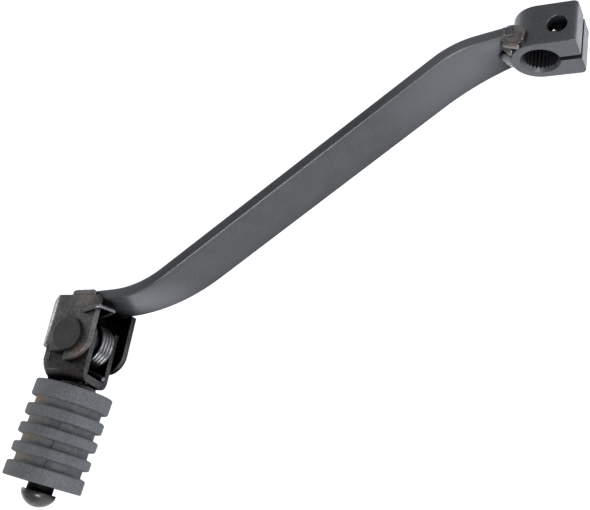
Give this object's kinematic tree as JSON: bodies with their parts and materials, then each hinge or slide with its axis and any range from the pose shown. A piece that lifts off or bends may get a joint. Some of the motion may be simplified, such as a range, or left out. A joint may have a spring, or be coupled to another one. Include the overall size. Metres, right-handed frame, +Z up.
{
  "type": "motorcycle gear shift lever",
  "caption": "Cranked flat-bar gear shift lever with a slotted, serrated clamp hub at one end and a sprung folding toe peg in a ribbed rubber at the other.",
  "frame": {"origin": "on the axis of the splined bore, 6.8 mm inboard of the hub's outboard face", "axes": "+X forward from the shift shaft to the toe peg, +Y outboard along the shift shaft, +Z up and along the pivot pin"},
  "size_m": [0.1863, 0.1718, 0.0297],
  "materials": {
    "black_paint": "satin black enamel on steel",
    "weld_paint": "black enamel over a rippled weld bead",
    "yoke_paint": "rough black enamel on steel",
    "dark_steel": "dark oiled steel",
    "spring_steel": "drawn spring wire",
    "rubber": "matte dark grey moulded rubber"
  },
  "bodies": {
    "lever": {"hub": "black_paint", "arm": "black_paint", "hub_weld": "weld_paint", "clevis": "black_paint", "clevis_weld": "weld_paint", "pivot_pin": "black_paint", "pin_washer": "black_paint", "spacer_sleeve": "dark_steel", "torsion_spring": "spring_steel"},
    "toe_peg": {"yoke": "yoke_paint", "peg_shaft": "black_paint", "peg_weld": "weld_paint", "toe_rubber": "rubber"}
  },
  "joints": [
    {"name": "peg_fold", "type": "hinge", "parent": "lever", "child": "toe_peg", "pos_m": [0.1536, 0.1058, 0], "axis": [0, 0, 1], "range_deg": [0, 85], "stiffness_Nm_per_rad": 0.12, "springref_deg": -28.65, "deforming": ["torsion_spring"]}
  ]
}
